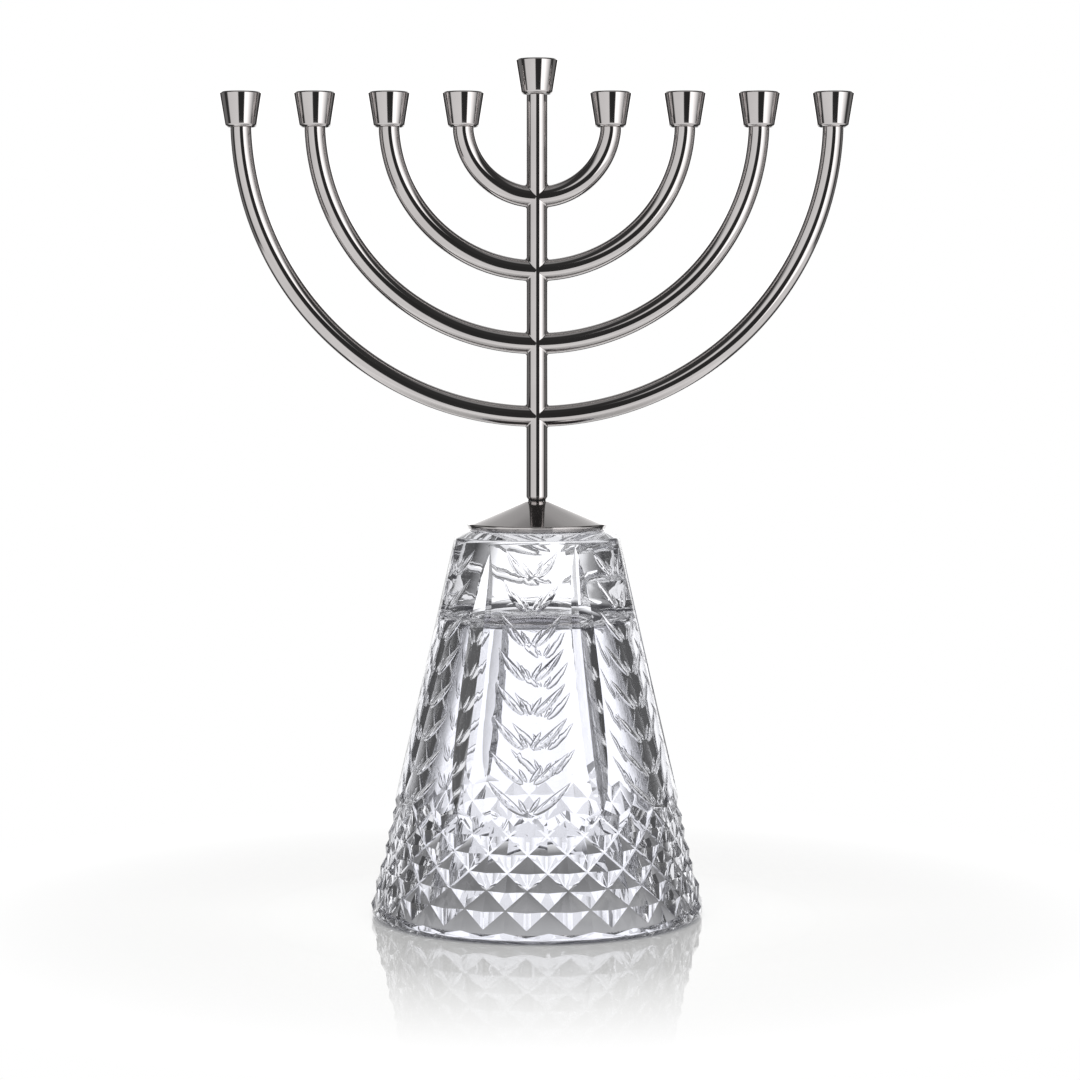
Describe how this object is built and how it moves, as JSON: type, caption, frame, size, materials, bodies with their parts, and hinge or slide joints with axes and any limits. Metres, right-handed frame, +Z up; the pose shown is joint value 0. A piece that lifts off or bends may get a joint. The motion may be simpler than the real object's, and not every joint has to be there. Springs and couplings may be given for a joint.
{
  "type": "menorah",
  "caption": "Table menorah: a polished metal stem with curved arms and tapered candle cups, screwed to a cone cap on a hollow cut-crystal bell.",
  "frame": {"origin": "centre of the crystal's foot, at table level", "axes": "+Z up along the stem; +X to the right and -Y towards the viewer, with the arms in the XZ plane"},
  "size_m": [0.243, 0.1286, 0.3298],
  "materials": {
    "nickel_plate": "polished nickel plate over turned and bent metal",
    "crystal": "polished clear crystal with wheel-cut grooves",
    "clear_adhesive": "thin clear cured adhesive",
    "nylon": "dark nylon",
    "steel": "plain steel"
  },
  "bodies": {
    "base": {"crystal_base": "crystal", "bond_film": "clear_adhesive", "base_cap": "nickel_plate"},
    "washer": {"stem_washer": "nylon"},
    "candelabrum": {"stem_stud": "steel", "stem": "nickel_plate", "arm_left_1": "nickel_plate", "arm_left_2": "nickel_plate", "arm_left_3": "nickel_plate", "arm_left_4": "nickel_plate", "arm_right_1": "nickel_plate", "arm_right_2": "nickel_plate", "arm_right_3": "nickel_plate", "arm_right_4": "nickel_plate", "cup_center": "nickel_plate", "cup_left_1": "nickel_plate", "cup_left_2": "nickel_plate", "cup_left_3": "nickel_plate", "cup_left_4": "nickel_plate", "cup_right_1": "nickel_plate", "cup_right_2": "nickel_plate", "cup_right_3": "nickel_plate", "cup_right_4": "nickel_plate"}
  },
  "joints": [
    {"name": "candelabrum_lift", "type": "slide", "parent": "base", "child": "washer", "axis": [0, 0, 1], "range_m": [0, 0.0058]},
    {"name": "candelabrum_turn", "type": "hinge", "parent": "washer", "child": "candelabrum", "pos_m": [0, 0, 0.1611], "axis": [0, 0, 1], "range_deg": [0, 2610]}
  ],
  "couplings": [
    {"joint": "candelabrum_lift", "follows": "candelabrum_turn", "m_per_rad": 0.00012732}
  ]
}
